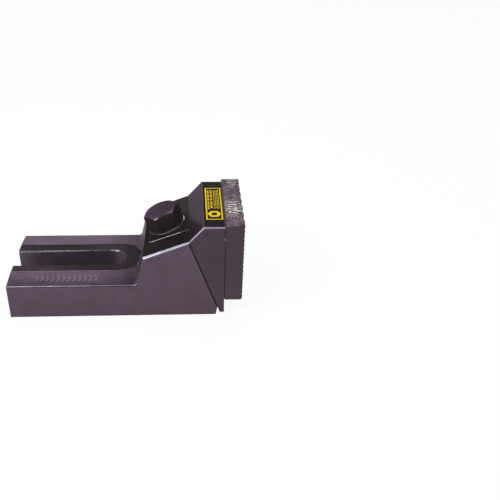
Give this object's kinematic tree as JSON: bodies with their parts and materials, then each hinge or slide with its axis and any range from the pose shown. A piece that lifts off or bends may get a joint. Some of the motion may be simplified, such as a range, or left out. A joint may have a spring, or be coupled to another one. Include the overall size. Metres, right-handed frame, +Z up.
{
  "type": "side vise",
  "caption": "Machine-table side vise: slotted base with an inclined front and a wedge jaw that a hexagon screw drives forward and down against the work.",
  "frame": {"origin": "centre of the bolt slot's round inner end, in the plane of the sole that rests on the machine table", "axes": "+X from the bolt slot towards the jaw, +Z up from the table, Y across the jaw with Y = 0 in the middle plane"},
  "size_m": [0.1713, 0.075, 0.076],
  "materials": {
    "dark_forging": "satin",
    "hardened_plate": "rough",
    "black_fastener": "black oxide",
    "bright_pin": "ground",
    "dark_screw": "black oxide",
    "label": "glossy"
  },
  "bodies": {
    "base": {"base_body": "dark_forging"},
    "jaw": {"wedge_slide": "dark_forging", "jaw_plate": "hardened_plate", "jaw_screws": "black_fastener", "jaw_pins": "bright_pin", "screw_washer": "black_fastener", "top_label": "label"},
    "screw": {"clamp_screw": "dark_screw", "retaining_ring": "black_fastener"}
  },
  "joints": [
    {"name": "jaw_slide", "type": "slide", "parent": "base", "child": "jaw", "axis": [0.3502, 0, -0.9367], "range_m": [-0.008, 0.0015]},
    {"name": "screw_turn", "type": "hinge", "parent": "jaw", "child": "screw", "pos_m": [0.04277, 0, 0.05613], "axis": [0.3502, 0, -0.9367], "range_deg": [-1440, 270]}
  ],
  "couplings": [
    {"joint": "screw_turn", "follows": "jaw_slide", "rad_per_m": 3141.6}
  ]
}
